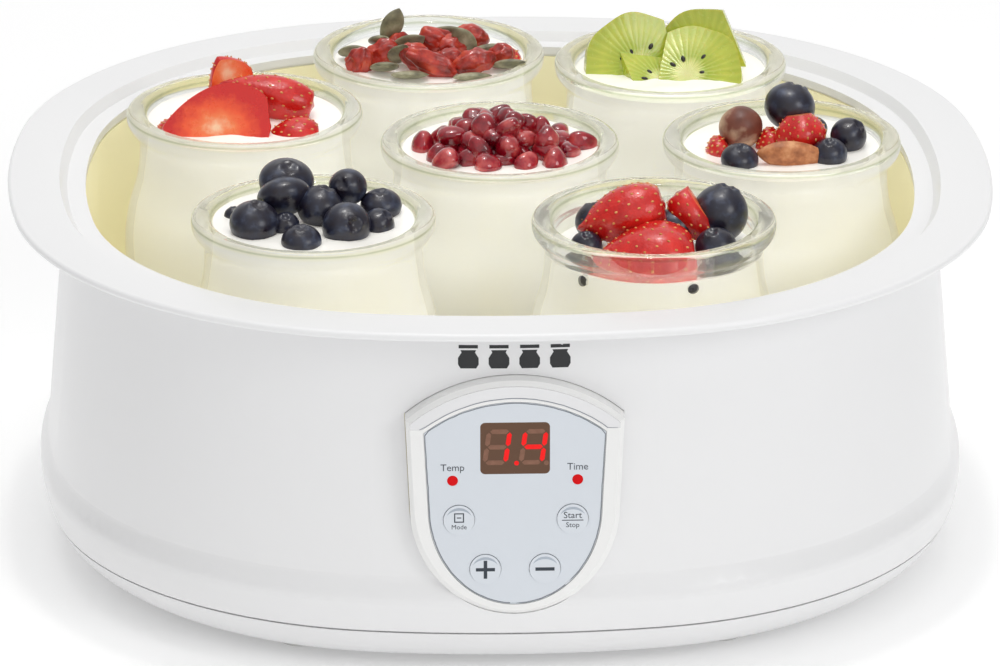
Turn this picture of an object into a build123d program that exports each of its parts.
from build123d import *
import os
from math import asin, atan2, cos, degrees, radians, sin, sqrt

os.makedirs("parts", exist_ok=True)

# Yogurt maker: a rounded-square heated tub with seven lift-out glass jars.
# Millimetres. +Z is up, the control panel faces -Y, and Z = 0 is the table.

# ---- body plan: eight tangent arcs, every outline an offset of one curve ----
DEPTH_LESS = 2.4  # half-depth is this much less than half-width
CORNER_X = 24.8  # centre of the +X +Y corner arc
CORNER_Y = 22.2
CORNER_LESS = 26.5  # corner radius is the half-width less this

# ---- body heights and half-widths ----
TOP_Z = 109.5  # top of the rim flange
BASE_Z = 3.0  # underside of the base pan
FLANGE_HALF = 144.6
FLANGE_EDGE = 1.2  # radius of the flange's rounded edge
FLANGE_ROOT_R = 5.0  # fillet between the flange and the wall
STEP_HALF = 129.4  # inner edge of the flange top
STEP_FOOT_HALF = 127.2
LEDGE_DROP = 2.7  # ledge below the flange top
LEDGE_HALF = 121.8  # inner edge of the ledge
LEDGE_THICK = 2.4
WALL = 2.5
WALL_TOP_HALF = 128.1
WALL_FOOT_HALF = 134.1
WALL_FOOT_Z = 32.5
BELLY_HALF = 136.6  # widest part of the belly
BELLY_Z = 24.7
FLOOR_HALF = 115.6  # flat underside of the base pan
SEAM_Z = 15.9  # lower edge of the housing
SEAM_GAP = 0.6
PAN_WALL = 2.4
PAN_LIP_TOP = 20.0

# ---- tub ----
TUB_WALL = 2.0
TUB_HALF = 121.9
TUB_FOOT_HALF = 120.9
TUB_FLOOR_Z = 37.0
TUB_FLOOR_THICK = 2.2
TUB_CORNER_R = 6.0
TUB_FLANGE_HALF = 125.6
TUB_FLANGE_THICK = 2.0
GASKET_THICK = 0.8

# ---- jars ----
JAR_H = 82.0
JAR_LIP_R = 35.0
JAR_MOUTH_R = 28.7
JAR_NECK_R = 31.3
JAR_BARREL_R = 36.0
JAR_FOOT_R = 30.0
JAR_WALL = 2.6
JAR_LIP_DEEP = 11.0  # top of the jar down to the neck
JAR_WIDEST_Z = 36.0
JAR_SHOULDER_R = 33.1  # where the shoulder turns into the neck
JAR_SHOULDER_Z = 58.0
JAR_FOOT_TOP = 6.0
JAR_FOOT_CURVE = 2.4
JAR_PUNT = 0.8  # hollow under the foot
JAR_FLOOR = 3.6
JAR_CLEAR = 0.3  # jar above the tub floor
JAR_PLACES = {
    "front_left": (-55.5, -67.0),
    "front_right": (41.8, -72.6),
    "centre": (0.0, -2.9),
    "left": (-74.8, 27.1),
    "right": (82.9, -3.2),
    "back_left": (-18.8, 80.1),
    "back_right": (54.0, 69.5),
}

# ---- control panel, in its own plane: x right, y up, z out ----
PANEL_Y = -133.7
PANEL_Z = TOP_Z - 52.0
PANEL_TILT = 1.9  # degrees, top leans back
PANEL_GAP = 0.15  # between the bezel and its opening in the housing
BEZEL_HALF = 30.8
BEZEL_LOW_HALF = 29.6
BEZEL_SHOULDER = 23.0
BEZEL_APEX = 34.5
BEZEL_BOTTOM = -35.0
BEZEL_BEND = -3.0  # the sides start to round in here
BEZEL_DEEP = 10.4
BEZEL_WALL = 2.4
BEZEL_ROUND = 1.2
PLATE_THICK = 2.5
OVERLAY_INSET = 5.0
OVERLAY_THICK = 0.5
OVERLAY_SINK = 0.8  # depth of the recess for the overlay
OVERLAY_GAP = 0.25
TRIM_INSET = 4.2
TRIM_END = 2.4  # the crescent ends this far below the bezel's shoulders
TRIM_THICK = 0.9
TRIM_PROUD = 0.35
WINDOW = (19.6, 15.3)
WINDOW_Y = 14.7
WINDOW_R = 1.4
LED_R = 1.5
LED_LEG_X = 1.27
LED_PLACES = {"led_temp": (-17.6, 5.2), "led_time": (17.6, 5.2)}
BUTTON_R = 4.2
BUTTON_CLEAR = 0.3
BUTTON_PROUD = 0.3
BUTTON_LIP = 1.0
BUTTON_TRAVEL = 0.6
BUTTON_PLACES = {
    "button_function": (-15.8, -6.5),
    "button_start": (16.2, -6.5),
    "button_plus": (-8.4, -21.3),
    "button_minus": (8.4, -21.3),
}
BOARD_THICK = 1.6
BOARD_BACK = 8.0  # front of the control board behind the panel plane
BOARD_POSTS = [(-20.5, 14.5), (20.5, 14.5), (0.0, -8.0), (0.0, -26.0)]
BOARD_POST_R = 2.4
BOARD_POST_HOLE_R = 1.0
BOARD_POST_HOLE_END = 4.5  # the screw holes stop this far behind the front
LIP_FRONT = PLATE_THICK + 0.3  # button lip, behind the plate
LIP_BACK = LIP_FRONT + 0.8
STEM_R = 1.4
STEM_BACK = 4.2
SWITCH_SIZE = 6.0
SWITCH_THICK = 1.8
SWITCH_KNOB_R = 1.7
SWITCH_FRONT = STEM_BACK + BUTTON_TRAVEL + 0.3

# ---- base fasteners, feet and heater ----
TUB_SCREW_PLACES = [(-76, -74), (76, -74), (-76, 74), (76, 74)]
COLUMN_R = 6.5  # base pan columns that the tub stands on
COLUMN_TOP = 18.0
COLUMN_SINK = 7.0  # depth of the hole for a screw head
TUB_BOSS_R = 5.0
TUB_SCREW_R = 1.75
TUB_SCREW_L = 18.0
VENTS = 9
VENT_PITCH = 7.0
VENT_SIZE = (3.0, 26.0)
VENT_Y = -30.0
FOOT_R = 6.5
FOOT_PLUG_R = 2.5
FOOT_PLACES = [(-60.5, -96.5), (60.5, -96.5), (-60.5, 96.5), (60.5, 96.5)]
HEATER_R = 78.0
HEATER_STUDS = [(-50, -50), (50, -50), (-50, 50), (50, 50)]
HEATER_THICK = 1.0
HEATER_TOP = TUB_FLOOR_Z - TUB_FLOOR_THICK
HEATER_LOW = HEATER_TOP - HEATER_THICK
STUD_R = 3.0
STUD_SCREW_R = 1.25
WASHER_R = 4.4
WASHER_THICK = 0.6
PAD_THICK = 2.0
WIRE_R = 1.5
LEAD_R = 1.0
MAINS_R = 1.2
HEAT_RINGS = (34.0, 60.0)
HEAT_LEAD_X = 6.0
HEAT_LEAD_Y = -59.7  # where the leads meet the outer turn
HEAT_LEAD_Z = 17.5  # height of the leads' run under the tub
FUSE_PLACE = (0.0, -46.5)
FUSE_R = 2.0
SENSOR_R = 3.0
GLAND_X = 34.0
GLAND_Z = BELLY_Z
GLAND_BORE_R = 3.7
GLAND_NECK_R = 5.6  # threaded neck, inside the housing
GLAND_SQUARE = 11.2  # across the square shoulder that stops the gland turning
GLAND_CORNER_R = 1.6
GLAND_PAD_Y = 135.4
GLAND_PAD_R = 8.5
GLAND_SEAT_Y = 126.4  # inner face of the pad, where the nut bears
GLAND_NUT_R = 8.4
GLAND_NUT_THICK = 3.0
GLAND_FLANGE = 2.4

# ---- power electronics ----
POWER_Z = 9.0
POWER_SIZE = (84.0, 46.0)
POWER_Y = 40.0
POWER_POSTS = [(-38, 21), (38, 21), (-38, 59), (38, 59)]
POWER_POST_R = 3.5
POWER_SCREW_R = 1.5
TERMINALS = (12.0, 15.0)  # terminal block on the board, from the board's centre
TERMINAL_X = 5.0  # half the distance between its two poles
RIBBON_X = -12.0
RIBBON_SIZE = (8.0, 0.8)
RIBBON_Z = 32.0
RIBBON_LOW_Z = 13.6

UP = (Align.CENTER, Align.CENTER, Align.MIN)


def save(shape, name):
    export_step(shape, f"parts/{name}.step")


def save_group(shapes, name):
    save(Compound(children=list(shapes)), name)


# ---------------------------------------------------------------- outlines


def plan_arcs():
    """Arc centre, radius beyond the half-width, and first and last angle."""
    shift_x = (CORNER_X**2 + CORNER_Y**2 - CORNER_LESS**2) / (2 * (CORNER_LESS - CORNER_X))
    less = CORNER_LESS - DEPTH_LESS
    shift_y = (CORNER_X**2 + CORNER_Y**2 - less**2) / (2 * (less - CORNER_Y))
    low = degrees(atan2(CORNER_Y, CORNER_X + shift_x))
    high = degrees(atan2(CORNER_Y + shift_y, CORNER_X))
    front = shift_y - DEPTH_LESS
    return [
        (-shift_x, 0, shift_x, -low, low),
        (CORNER_X, CORNER_Y, -CORNER_LESS, low, high),
        (0, -shift_y, front, high, 180 - high),
        (-CORNER_X, CORNER_Y, -CORNER_LESS, 180 - high, 180 - low),
        (shift_x, 0, shift_x, 180 - low, 180 + low),
        (-CORNER_X, -CORNER_Y, -CORNER_LESS, 180 + low, 180 + high),
        (0, shift_y, front, 180 + high, 360 - high),
        (CORNER_X, -CORNER_Y, -CORNER_LESS, 360 - high, 360 - low),
    ]


def slab(half_width, low_z, high_z):
    """A flat plate with the body's plan."""
    edges = []
    for x, y, beyond, start, end in plan_arcs():
        edges.append(CenterArc((x, y), half_width + beyond, start, end - start))
    face = make_face(edges)
    return extrude(Pos(0, 0, low_z) * face, high_z - low_z, dir=(0, 0, 1))


def ring(edges):
    """The closed section, drawn as (half-width, height), carried round the plan."""
    section = Plane.XZ * make_face(edges)
    parts = []
    for x, y, beyond, start, end in plan_arcs():
        turned = revolve(Pos(beyond, 0, 0) * section, Axis.Z, end - start)
        parts.append(Pos(x, y, 0) * Rot(0, 0, start) * turned)
    return parts[0].fuse(*parts[1:])


def belly_depth(height, inset):
    """How far down the belly's lower ellipse a height is, from 0 to 1 at the floor."""
    return round(min(1.0, (BELLY_Z - height) / (BELLY_Z - BASE_Z - inset)), 9)


def belly_half(height, inset):
    """Half-width of the belly's lower ellipse at a height."""
    across = BELLY_HALF - FLOOR_HALF - inset
    return FLOOR_HALF + across * sqrt(1 - belly_depth(height, inset) ** 2)


def belly_arc(inset, low_z, high_z):
    """Part of the belly's lower ellipse, from the lower height to the upper one."""
    across = BELLY_HALF - FLOOR_HALF - inset
    down = BELLY_Z - BASE_Z - inset
    angles = [-degrees(asin(belly_depth(z, inset))) for z in (low_z, high_z)]
    centre = (FLOOR_HALF, BELLY_Z)
    return EllipticalCenterArc(centre, across, down, angles[0], arc_size=angles[1] - angles[0])


def panel_face(inset):
    """Arched panel outline with an elliptical lower end, drawn in its own plane."""
    half = BEZEL_HALF - inset
    low_half = BEZEL_LOW_HALF - inset
    shoulder = BEZEL_SHOULDER - 0.7 * inset
    apex = BEZEL_APEX - inset * 1.2
    drop = BEZEL_BEND - BEZEL_BOTTOM - inset * 0.6
    arch = ThreePointArc((-half, shoulder), (0, apex), (half, shoulder))
    right = Line((half, shoulder), (low_half, BEZEL_BEND))
    bowl = EllipticalCenterArc((0, BEZEL_BEND), low_half, drop, 180, arc_size=180)
    left = Line((-low_half, BEZEL_BEND), (-half, shoulder))
    return make_face([arch, right, bowl, left])


PANEL = Plane(
    origin=(0, PANEL_Y, PANEL_Z),
    x_dir=(1, 0, 0),
    z_dir=(0, -cos(radians(PANEL_TILT)), sin(radians(PANEL_TILT))),
)


def on_panel(face, front, back):
    """The face made solid between two depths; depth 0 is the bezel's front, back is negative."""
    return PANEL * extrude(Pos(0, 0, back) * face, front - back, dir=(0, 0, 1))


def panel_pin(place, radius, front, back):
    return on_panel(Pos(*place) * Circle(radius), front, back)


def screw(head_r, head_h, shank_r, length):
    """Pan-head screw standing head down, its shank going up from Z = 0."""
    head = Pos(0, 0, -head_h) * Cylinder(head_r, head_h, align=UP)
    head = fillet(head.edges().group_by(Axis.Z)[0], head_h * 0.35)
    shank = Cylinder(shank_r, length, align=UP)
    slot = Box(head_r * 1.1, head_r * 0.28, head_h * 0.5, align=UP)
    cross = Pos(0, 0, -head_h) * (slot + Rot(0, 0, 90) * slot)
    return head + shank - cross


# ---------------------------------------------------------------- housing


def wall_line(inset):
    """Outer or inner face of the wall, from the belly up to the flange root."""
    foot = (WALL_FOOT_HALF - inset, WALL_FOOT_Z)
    top = (WALL_TOP_HALF - inset, TOP_Z - 2 * FLANGE_EDGE - FLANGE_ROOT_R)
    lean = (top[0] - foot[0], top[1] - foot[1])
    flare = Spline([(BELLY_HALF - inset, BELLY_Z), foot], tangents=[(0, 1), lean])
    return flare, Line(foot, top), top


def outer_housing():
    under = TOP_Z - 2 * FLANGE_EDGE
    ledge = TOP_Z - LEDGE_DROP
    flare, wall, wall_top = wall_line(0)
    root_c = (wall_top[0] + FLANGE_ROOT_R, wall_top[1])
    root_mid = (root_c[0] - FLANGE_ROOT_R * cos(radians(45)), root_c[1] + FLANGE_ROOT_R * sin(radians(45)))
    edge_x = FLANGE_HALF - FLANGE_EDGE
    in_flare, in_wall, in_top = wall_line(WALL)
    ledge_back = (in_top[0], ledge - LEDGE_THICK)
    edges = [
        belly_arc(0, SEAM_Z, BELLY_Z),
        flare,
        wall,
        ThreePointArc(wall_top, root_mid, (root_c[0], under)),
        Line((root_c[0], under), (edge_x, under)),
        ThreePointArc((edge_x, under), (FLANGE_HALF, TOP_Z - FLANGE_EDGE), (edge_x, TOP_Z)),
        Line((edge_x, TOP_Z), (STEP_HALF, TOP_Z)),
        Line((STEP_HALF, TOP_Z), (STEP_FOOT_HALF, ledge)),
        Line((STEP_FOOT_HALF, ledge), (LEDGE_HALF, ledge)),
        Line((LEDGE_HALF, ledge), (LEDGE_HALF, ledge_back[1])),
        Line((LEDGE_HALF, ledge_back[1]), ledge_back),
        Line(ledge_back, in_top),
        in_wall,
        in_flare,
        belly_arc(WALL, SEAM_Z, BELLY_Z),
        Line((belly_half(SEAM_Z, WALL), SEAM_Z), (belly_half(SEAM_Z, 0), SEAM_Z)),
    ]
    body = ring(edges)
    pad_length = GLAND_PAD_Y - GLAND_SEAT_Y
    passage = gland_square(0.1, pad_length)
    pad = Cylinder(GLAND_PAD_R, pad_length, align=UP)
    to_gland = Pos(GLAND_X, GLAND_SEAT_Y, GLAND_Z) * Rot(-90, 0, 0)
    body = body + to_gland * pad - to_gland * passage
    return body - on_panel(panel_face(-PANEL_GAP), 10, -30)


def gland_square(gap, length):
    """Prism of the gland's square shoulder, made larger all round by gap."""
    side = GLAND_SQUARE + 2 * gap
    return extrude(RectangleRounded(side, side, GLAND_CORNER_R + gap), length)


def base_pan():
    lip_out = belly_half(SEAM_Z, WALL) - 0.3
    edges = [
        belly_arc(0, BASE_Z, SEAM_Z - SEAM_GAP),
        Line((belly_half(SEAM_Z - SEAM_GAP, 0), SEAM_Z - SEAM_GAP), (lip_out, SEAM_Z - SEAM_GAP)),
        Line((lip_out, SEAM_Z - SEAM_GAP), (lip_out, PAN_LIP_TOP)),
        Line((lip_out, PAN_LIP_TOP), (lip_out - 1.8, PAN_LIP_TOP)),
        Line((lip_out - 1.8, PAN_LIP_TOP), (lip_out - 1.8, SEAM_Z - 4)),
        Line((lip_out - 1.8, SEAM_Z - 4), (belly_half(SEAM_Z - 5, PAN_WALL), SEAM_Z - 5)),
        belly_arc(PAN_WALL, BASE_Z + PAN_WALL, SEAM_Z - 5),
        Line((FLOOR_HALF, BASE_Z + PAN_WALL), (FLOOR_HALF - 2, BASE_Z + PAN_WALL)),
        Line((FLOOR_HALF - 2, BASE_Z + PAN_WALL), (FLOOR_HALF - 2, BASE_Z)),
        Line((FLOOR_HALF - 2, BASE_Z), (FLOOR_HALF, BASE_Z)),
    ]
    pan = ring(edges) + slab(FLOOR_HALF - 1, BASE_Z, BASE_Z + PAN_WALL)
    for x, y in TUB_SCREW_PLACES:
        pan = pan + Pos(x, y, BASE_Z) * Cylinder(COLUMN_R, COLUMN_TOP - BASE_Z, align=UP)
        pan = pan - Pos(x, y, BASE_Z) * Cylinder(TUB_SCREW_R + 2.45, COLUMN_SINK, align=UP)
        pan = pan - Pos(x, y, BASE_Z) * Cylinder(TUB_SCREW_R + 0.35, COLUMN_TOP, align=UP)
    for x, y in POWER_POSTS:
        pan = pan + Pos(x, y, BASE_Z) * Cylinder(POWER_POST_R, POWER_Z - BASE_Z, align=UP)
    for x, y in FOOT_PLACES:
        pan = pan - Pos(x, y, BASE_Z) * Cylinder(FOOT_PLUG_R, PAN_WALL, align=UP)
    pan = pan - Pos(GLAND_X, GLAND_SEAT_Y, SEAM_Z) * Box(2 * GLAND_PAD_R + 2, 10, 10, align=UP)
    for i in range(VENTS):
        x = (i - (VENTS - 1) / 2) * VENT_PITCH
        pan = pan - Pos(x, VENT_Y, BASE_Z) * Box(*VENT_SIZE, PAN_WALL, align=UP)
    return pan


def rubber_foot():
    pad = fillet(Cylinder(FOOT_R, BASE_Z, align=UP).edges().group_by(Axis.Z)[0], 0.8)
    plug = Pos(0, 0, BASE_Z) * Cylinder(FOOT_PLUG_R, PAN_WALL, align=UP)
    barb = Pos(0, 0, BASE_Z + PAN_WALL) * Cone(FOOT_PLUG_R + 0.7, FOOT_PLUG_R - 0.5, 1.6, align=UP)
    return pad + plug + barb


# ---------------------------------------------------------------- tub and heater


def inner_tub():
    top = TOP_Z - LEDGE_DROP - LEDGE_THICK - GASKET_THICK
    low = TUB_FLOOR_Z - TUB_FLOOR_THICK
    bend = TUB_CORNER_R * (1 - cos(radians(45)))
    foot = TUB_FOOT_HALF
    edges = [
        Line((TUB_FLANGE_HALF, top), (TUB_HALF, top)),
        Line((TUB_HALF, top), (foot, TUB_FLOOR_Z + TUB_CORNER_R)),
        ThreePointArc(
            (foot, TUB_FLOOR_Z + TUB_CORNER_R),
            (foot - bend, TUB_FLOOR_Z + bend),
            (foot - TUB_CORNER_R, TUB_FLOOR_Z),
        ),
        Line((foot - TUB_CORNER_R, TUB_FLOOR_Z), (foot - TUB_CORNER_R - 2, TUB_FLOOR_Z)),
        Line((foot - TUB_CORNER_R - 2, TUB_FLOOR_Z), (foot - TUB_CORNER_R - 2, low)),
        Line((foot - TUB_CORNER_R - 2, low), (foot - TUB_CORNER_R, low)),
        ThreePointArc(
            (foot - TUB_CORNER_R, low),
            (foot + TUB_WALL - bend, low + bend),
            (foot + TUB_WALL, TUB_FLOOR_Z + TUB_CORNER_R),
        ),
        Line((foot + TUB_WALL, TUB_FLOOR_Z + TUB_CORNER_R), (TUB_HALF + TUB_WALL, top - TUB_FLANGE_THICK)),
        Line((TUB_HALF + TUB_WALL, top - TUB_FLANGE_THICK), (TUB_FLANGE_HALF, top - TUB_FLANGE_THICK)),
        Line((TUB_FLANGE_HALF, top - TUB_FLANGE_THICK), (TUB_FLANGE_HALF, top)),
    ]
    tub = ring(edges) + slab(foot - TUB_CORNER_R - 1, low, TUB_FLOOR_Z)
    for x, y in TUB_SCREW_PLACES:
        boss = Pos(x, y, COLUMN_TOP) * Cylinder(TUB_BOSS_R, low + 0.5 - COLUMN_TOP, align=UP)
        hole = BASE_Z + COLUMN_SINK + TUB_SCREW_L - COLUMN_TOP + 0.2
        tub = tub + boss - Pos(x, y, COLUMN_TOP) * Cylinder(TUB_SCREW_R, hole, align=UP)
    for x, y in HEATER_STUDS:
        stud = Pos(x, y, HEATER_LOW) * Cylinder(STUD_R, HEATER_THICK + 0.5, align=UP)
        tub = tub + stud - Pos(x, y, HEATER_LOW) * Cylinder(STUD_SCREW_R, 2.6, align=UP)
    return tub


def tub_gasket():
    top = TOP_Z - LEDGE_DROP - LEDGE_THICK
    corners = [
        (LEDGE_HALF + 0.8, top - GASKET_THICK),
        (TUB_FLANGE_HALF - 0.4, top - GASKET_THICK),
        (TUB_FLANGE_HALF - 0.4, top),
        (LEDGE_HALF + 0.8, top),
    ]
    return ring([Polyline(*corners, close=True)])


def heater_plate():
    plate = Pos(0, 0, HEATER_LOW) * Cylinder(HEATER_R, HEATER_THICK, align=UP)
    for x, y in HEATER_STUDS:
        plate = plate - Pos(x, y, HEATER_LOW) * Cylinder(STUD_R, HEATER_THICK, align=UP)
    return plate - Pos(0, 0, HEATER_LOW) * Cylinder(SENSOR_R + 1, HEATER_THICK, align=UP)


def heating_wires():
    """Two concentric turns of silicone-covered heating wire."""
    return [Pos(0, 0, HEATER_LOW - WIRE_R) * Torus(r, WIRE_R) for r in HEAT_RINGS]


def insulation_pad():
    """Fibre pad under the heating wire, cut away for everything that passes through it."""
    low = HEATER_LOW - 2 * WIRE_R - PAD_THICK
    pad = Pos(0, 0, low) * Cylinder(HEATER_R - 2, PAD_THICK, align=UP)
    for x, y in HEATER_STUDS:
        pad = pad - Pos(x, y, low) * Cylinder(WASHER_R + 0.6, PAD_THICK, align=UP)
    pad = pad - Pos(*FUSE_PLACE, low) * Box(20, 12, PAD_THICK, align=UP)
    for x in (-HEAT_LEAD_X, HEAT_LEAD_X):
        pad = pad - Pos(x, HEAT_LEAD_Y, low) * Cylinder(LEAD_R + 0.5, PAD_THICK, align=UP)
    return pad - Pos(0, 0, low) * Cylinder(SENSOR_R + 4, PAD_THICK, align=UP)


def thermal_fuse():
    """Axial fuse lying against the heater plate."""
    along_x = Pos(*FUSE_PLACE, HEATER_LOW - FUSE_R) * Rot(0, 90, 0)
    return along_x * (Cylinder(FUSE_R, 10) + Cylinder(0.5, 17))


def fuse_clip():
    """Strap over the fuse, open towards the plate."""
    deep = 2 * FUSE_R + 1
    strap = Pos(*FUSE_PLACE, HEATER_LOW - deep) * Box(5, 2 * FUSE_R + 2, deep, align=UP)
    strap = strap - Pos(*FUSE_PLACE, HEATER_LOW - FUSE_R) * Rot(0, 90, 0) * Cylinder(FUSE_R, 20)
    return strap - Pos(*FUSE_PLACE, HEATER_LOW - FUSE_R) * Box(20, 2 * FUSE_R, FUSE_R, align=UP)


def temperature_sensor():
    """Sensor cup that reaches the tub floor through the heater plate."""
    cup = Pos(0, 0, HEATER_TOP - 7.0) * Cylinder(SENSOR_R, 7.0, align=UP)
    collar = Pos(0, 0, HEATER_LOW - 1.6) * Cylinder(2 * SENSOR_R, 1.6, align=UP)
    return cup + collar


def heater_screws():
    """Washer-head screws: the washer holds the plate up against the tub."""
    fixing = screw(STUD_R, 1.6, STUD_SCREW_R, WASHER_THICK + 2.6) + Cylinder(WASHER_R, WASHER_THICK, align=UP)
    return [Pos(x, y, HEATER_LOW - WASHER_THICK) * fixing for x, y in HEATER_STUDS]


# ---------------------------------------------------------------- control panel


def window_face():
    return Pos(0, WINDOW_Y) * RectangleRounded(*WINDOW, WINDOW_R)


def panel_bezel():
    shell = on_panel(panel_face(0), 0, -BEZEL_DEEP)
    front = max(shell.faces(), key=lambda f: (round(f.area, 1), -f.center().Y))
    shell = chamfer(front.edges(), BEZEL_ROUND)
    shell = shell - on_panel(panel_face(BEZEL_WALL), -PLATE_THICK, -BEZEL_DEEP - 1)
    shell = shell - on_panel(panel_face(OVERLAY_INSET), 1, -OVERLAY_SINK)
    for place in BOARD_POSTS:
        shell = shell + panel_pin(place, BOARD_POST_R, -PLATE_THICK, -BOARD_BACK)
        shell = shell - panel_pin(place, BOARD_POST_HOLE_R, -BOARD_POST_HOLE_END, -BOARD_BACK)
    for place in BUTTON_PLACES.values():
        shell = shell - panel_pin(place, BUTTON_R + BUTTON_CLEAR, 1, -PLATE_THICK)
    for place in LED_PLACES.values():
        shell = shell - panel_pin(place, LED_R + 0.05, 1, -PLATE_THICK)
    shell = shell - on_panel(window_face(), 1, -PLATE_THICK)
    return shell - on_panel(arch_band(), 1, TRIM_PROUD - TRIM_THICK)


def arch_band():
    """Crescent over the top of the bezel, between its edge and the overlay."""
    keep = Pos(0, BEZEL_SHOULDER - TRIM_END) * Rectangle(80, 40, align=(Align.CENTER, Align.MIN))
    return (panel_face(BEZEL_ROUND) & keep) - panel_face(TRIM_INSET)


def arch_trim():
    return on_panel(arch_band(), TRIM_PROUD, TRIM_PROUD - TRIM_THICK)


def panel_overlay():
    back = -OVERLAY_SINK
    film = on_panel(panel_face(OVERLAY_INSET + OVERLAY_GAP), back + OVERLAY_THICK, back)
    for place in BUTTON_PLACES.values():
        film = film - panel_pin(place, BUTTON_R + BUTTON_CLEAR, 1, -2)
    for place in LED_PLACES.values():
        film = film - panel_pin(place, LED_R + 0.05, 1, -2)
    return film - on_panel(window_face(), 1, -2)


def display_window():
    return on_panel(window_face(), OVERLAY_THICK - OVERLAY_SINK, -PLATE_THICK)


def display_module():
    block = Pos(0, WINDOW_Y) * Rectangle(WINDOW[0] - 0.6, WINDOW[1] - 0.6)
    return on_panel(block, -PLATE_THICK - 0.8, -BOARD_BACK)


def led(place):
    barrel = panel_pin(place, LED_R, OVERLAY_THICK - OVERLAY_SINK, -6.0)
    collar = panel_pin(place, LED_R + 0.4, -LIP_FRONT, -LIP_FRONT - 1)
    leg = Circle(0.25)
    legs = Pos(-LED_LEG_X, 0) * leg + Pos(LED_LEG_X, 0) * leg
    return barrel + collar + on_panel(Pos(*place) * legs, -5.5, -BOARD_BACK)


def push_button(place):
    """Round key: cap through the panel, lip behind it, and a stem to the switch."""
    cap = panel_pin(place, BUTTON_R, BUTTON_PROUD - OVERLAY_SINK + OVERLAY_THICK, -LIP_BACK)
    cap = chamfer(cap.faces().sort_by(Axis.Y)[0].edges(), 0.25)
    lip = panel_pin(place, BUTTON_R + BUTTON_LIP, -LIP_FRONT, -LIP_BACK)
    stem = panel_pin(place, STEM_R, -LIP_FRONT, -STEM_BACK)
    return cap + lip + stem


def tact_switch(place):
    body = Pos(*place) * Rectangle(SWITCH_SIZE, SWITCH_SIZE)
    knob = panel_pin(place, SWITCH_KNOB_R, -SWITCH_FRONT, -BOARD_BACK)
    return on_panel(body, SWITCH_THICK - BOARD_BACK, -BOARD_BACK) + knob


def control_board():
    board = on_panel(panel_face(BEZEL_WALL + 0.8), -BOARD_BACK, -BOARD_BACK - BOARD_THICK)
    for place in BOARD_POSTS:
        board = board - panel_pin(place, BOARD_POST_HOLE_R, -BOARD_BACK, -BOARD_BACK - BOARD_THICK)
    return board


def board_screws():
    back = BOARD_BACK + BOARD_THICK
    one = screw(2.1, 1.4, BOARD_POST_HOLE_R, back - BOARD_POST_HOLE_END)
    return [PANEL * Pos(x, y, -back) * one for x, y in BOARD_POSTS]


# ---------------------------------------------------------------- power electronics


def power_board():
    board = Pos(0, POWER_Y, POWER_Z) * Box(*POWER_SIZE, BOARD_THICK, align=UP)
    for x, y in POWER_POSTS:
        board = board - Pos(x, y, POWER_Z) * Cylinder(POWER_SCREW_R, BOARD_THICK, align=UP)
    return board


def power_screws():
    """Head up on the board, shank only as deep as the board."""
    one = Rot(180, 0, 0) * screw(2.8, 1.8, POWER_SCREW_R, BOARD_THICK)
    return [Pos(x, y, POWER_Z + BOARD_THICK) * one for x, y in POWER_POSTS]


def on_board(x, y, shape):
    return Pos(x, POWER_Y + y, POWER_Z + BOARD_THICK) * shape


def transformer():
    core = Box(18, 14, 12, align=UP) - Pos(0, 0, 3) * (Box(11, 20, 6, align=UP) - Box(5, 20, 6, align=UP))
    bobbin = Pos(0, 0, 3.2) * (Box(10.6, 16, 5.6, align=UP) - Box(5.2, 30, 5.6, align=UP))
    return on_board(-16, 0, core + bobbin)


def relay():
    case = fillet(Box(19, 15, 14.5, align=UP).edges().filter_by(Axis.Z), 0.8)
    return on_board(14, -4, case)


def capacitor():
    can = Cylinder(5.0, 14.0, align=UP)
    can = fillet(can.edges().group_by(Axis.Z)[-1], 0.7)
    return on_board(30, 8, can)


def terminal_block():
    block = Box(20, 9, 10, align=UP)
    for x in (-TERMINAL_X, TERMINAL_X):
        block = block - Pos(x, -4.5, 2.0) * Box(4, 6, 4, align=UP)
        block = block - Pos(x, 0, 6.5) * Cylinder(2.2, 3.5, align=UP)
    return on_board(*TERMINALS, block)


def wire(points, bend, radius):
    """Round wire along straight runs joined by tangent arcs."""
    path = FilletPolyline(*points, radius=bend)
    start = Plane(origin=path @ 0, z_dir=path % 0)
    return sweep(start * Circle(radius), path=path)


def mains_wires():
    """Two leads from inside the cord gland to the terminal block."""
    z = POWER_Z + BOARD_THICK + 4.0
    wires = []
    for side in (-1, 1):
        x = TERMINALS[0] + TERMINAL_X * side
        gland_x = GLAND_X + 1.6 * side
        points = [
            (gland_x, 122.0, GLAND_Z),
            (gland_x, 108.0, GLAND_Z),
            (gland_x, 92.0, z),
            (x, 74.0, z),
            (x, POWER_Y + TERMINALS[1] + 4.8, z),
        ]
        wires.append(wire(points, 5.0, MAINS_R))
    return wires


def heater_wires():
    """Two leads from the power board up to the heating wire."""
    wires = []
    for side in (-1, 1):
        x = HEAT_LEAD_X * side
        points = [
            (x, POWER_Y - 18.0, POWER_Z + BOARD_THICK),
            (x, POWER_Y - 18.0, HEAT_LEAD_Z),
            (x, HEAT_LEAD_Y, HEAT_LEAD_Z),
            (x, HEAT_LEAD_Y, HEATER_LOW - 2 * WIRE_R),
        ]
        wires.append(wire(points, 4.0, LEAD_R))
    return wires


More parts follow.
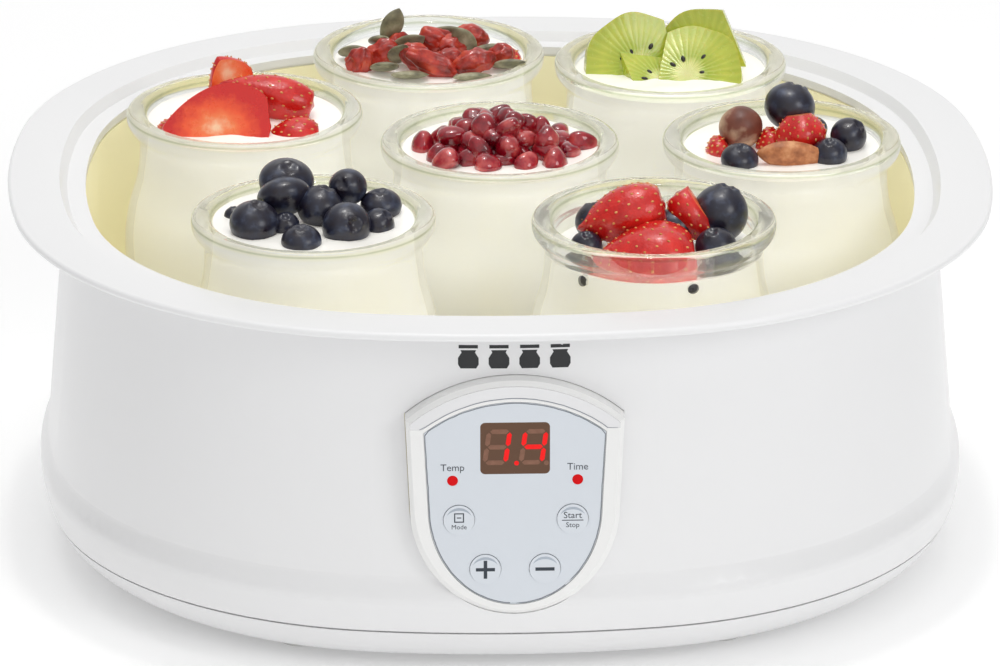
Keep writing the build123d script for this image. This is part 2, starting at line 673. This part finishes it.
def ribbon_cable():
    """Flat cable from the control board down and back to the power board."""
    start = PANEL_Y + BOARD_BACK + BOARD_THICK - (PANEL_Z - RIBBON_Z) * sin(radians(PANEL_TILT)) + 0.1
    points = [
        (start, RIBBON_Z),
        (-116.0, RIBBON_Z),
        (-116.0, RIBBON_LOW_Z),
        (24.0, RIBBON_LOW_Z),
        (24.0, POWER_Z + BOARD_THICK + 0.1),
    ]
    path = Plane.YZ * FilletPolyline(*points, radius=2.0)
    strip = Plane(origin=(0, start, RIBBON_Z), x_dir=(1, 0, 0), z_dir=(0, 1, 0)) * Rectangle(*RIBBON_SIZE)
    return Pos(RIBBON_X, 0, 0) * sweep(strip, path=path)


def cord_gland():
    """Bushing in the rear wall for the mains lead, with its lock nut inside."""
    shoulder_length = GLAND_PAD_Y - GLAND_SEAT_Y
    neck_length = shoulder_length + GLAND_NUT_THICK
    flange = Cylinder(GLAND_PAD_R - 0.4, GLAND_FLANGE, align=UP)
    flange = fillet(flange.edges().group_by(Axis.Z)[-1], 1.0)
    neck = Pos(0, 0, -neck_length) * Cylinder(GLAND_NECK_R, neck_length, align=UP)
    shoulder = Pos(0, 0, -shoulder_length) * gland_square(0, shoulder_length)
    bore = Pos(0, 0, -neck_length) * Cylinder(GLAND_BORE_R, neck_length + GLAND_FLANGE, align=UP)
    return Pos(GLAND_X, GLAND_PAD_Y, GLAND_Z) * Rot(-90, 0, 0) * (flange + shoulder + neck - bore)


def gland_nut():
    nut = extrude(RegularPolygon(GLAND_NUT_R, 6), GLAND_NUT_THICK)
    nut = nut - Cylinder(GLAND_NECK_R, GLAND_NUT_THICK, align=UP)
    return Pos(GLAND_X, GLAND_SEAT_Y - GLAND_NUT_THICK, GLAND_Z) * Rot(-90, 0, 0) * nut


def base_screws():
    one = screw(3.6, 2.4, TUB_SCREW_R, TUB_SCREW_L)
    return [Pos(x, y, BASE_Z + COLUMN_SINK) * one for x, y in TUB_SCREW_PLACES]


# ---------------------------------------------------------------- jars


def jar():
    """Tulip-shaped glass jar with a heavy flared lip, standing on Z = 0."""
    top = JAR_H
    foot_side = (JAR_FOOT_R + JAR_FOOT_CURVE, JAR_FOOT_TOP)
    widest = (JAR_BARREL_R, JAR_WIDEST_Z)
    shoulder = (JAR_SHOULDER_R, JAR_SHOULDER_Z)
    neck = (JAR_NECK_R, top - JAR_LIP_DEEP)
    rim_under = (JAR_LIP_R - 1.6, top - 6.0)
    rim_side = (JAR_LIP_R, top - 1.6)
    rim_top = (JAR_LIP_R - 1.7, top)
    mouth_edge = (JAR_MOUTH_R, top - 3.2)
    in_neck = (JAR_MOUTH_R, top - JAR_LIP_DEEP)
    in_widest = (JAR_BARREL_R - JAR_WALL, JAR_WIDEST_Z)
    in_shoulder = (JAR_SHOULDER_R - JAR_WALL, JAR_SHOULDER_Z)
    in_side = (JAR_BARREL_R - JAR_WALL - 0.8, JAR_WIDEST_Z - 18)
    in_foot = (JAR_FOOT_R - 1.4, JAR_FLOOR + 3.0)
    in_floor = (JAR_FOOT_R - 5.0, JAR_FLOOR)
    edges = [
        Line((0, JAR_PUNT), (JAR_FOOT_R - 5, JAR_PUNT)),
        Line((JAR_FOOT_R - 5, JAR_PUNT), (JAR_FOOT_R - 4, 0)),
        Line((JAR_FOOT_R - 4, 0), (JAR_FOOT_R - 1.5, 0)),
        ThreePointArc((JAR_FOOT_R - 1.5, 0), (JAR_FOOT_R + 1.2, 2.0), foot_side),
        ThreePointArc(foot_side, (JAR_BARREL_R - 0.6, JAR_WIDEST_Z - 18), widest),
        ThreePointArc(widest, (JAR_BARREL_R - 0.7, JAR_SHOULDER_Z - 8), shoulder),
        ThreePointArc(shoulder, (JAR_NECK_R + 0.5, JAR_SHOULDER_Z + 6), neck),
        ThreePointArc(neck, (JAR_NECK_R + 0.5, top - 8.2), rim_under),
        ThreePointArc(rim_under, (JAR_LIP_R - 0.2, top - 3.8), rim_side),
        ThreePointArc(rim_side, (JAR_LIP_R - 0.5, top - 0.4), rim_top),
        Line(rim_top, (JAR_MOUTH_R + 2.0, top - 0.5)),
        ThreePointArc((JAR_MOUTH_R + 2.0, top - 0.5), (JAR_MOUTH_R + 0.5, top - 1.3), mouth_edge),
        Line(mouth_edge, in_neck),
        Line(in_neck, in_shoulder),
        ThreePointArc(in_shoulder, (JAR_BARREL_R - JAR_WALL - 0.7, JAR_SHOULDER_Z - 8), in_widest),
        Line(in_widest, in_side),
        Line(in_side, in_foot),
        Line(in_foot, in_floor),
        Line(in_floor, (0, JAR_FLOOR)),
        Line((0, JAR_FLOOR), (0, JAR_PUNT)),
    ]
    return revolve(Plane.XZ * make_face(edges), Axis.Z, 360)


# ---------------------------------------------------------------- write every node


def main():
    save(outer_housing(), "outer_housing")
    save(base_pan(), "base_pan")
    save_group([Pos(x, y, 0) * rubber_foot() for x, y in FOOT_PLACES], "rubber_feet")
    save_group(base_screws(), "base_screws")
    save(inner_tub(), "inner_tub")
    save(tub_gasket(), "tub_gasket")
    save(heater_plate(), "heater_plate")
    save_group(heating_wires(), "heating_wires")
    save(insulation_pad(), "insulation_pad")
    save(thermal_fuse(), "thermal_fuse")
    save(fuse_clip(), "fuse_clip")
    save(temperature_sensor(), "temperature_sensor")
    save_group(heater_screws(), "heater_screws")
    save(panel_bezel(), "panel_bezel")
    save(arch_trim(), "arch_trim")
    save(panel_overlay(), "panel_overlay")
    save(display_window(), "display_window")
    save(display_module(), "display_module")
    for name, place in LED_PLACES.items():
        save(led(place), name)
    for name, place in BUTTON_PLACES.items():
        save(push_button(place), name)
    save_group([tact_switch(place) for place in BUTTON_PLACES.values()], "tact_switches")
    save(control_board(), "control_board")
    save_group(board_screws(), "board_screws")
    save(power_board(), "power_board")
    save_group(power_screws(), "power_screws")
    save(transformer(), "transformer")
    save(relay(), "relay")
    save(capacitor(), "capacitor")
    save(terminal_block(), "terminal_block")
    save_group(mains_wires(), "mains_wires")
    save_group(heater_wires(), "heater_wires")
    save(ribbon_cable(), "ribbon_cable")
    save(cord_gland(), "cord_gland")
    save(gland_nut(), "gland_nut")
    for name, (x, y) in JAR_PLACES.items():
        save(Pos(x, y, TUB_FLOOR_Z + JAR_CLEAR) * jar(), f"jar_{name}")


main()
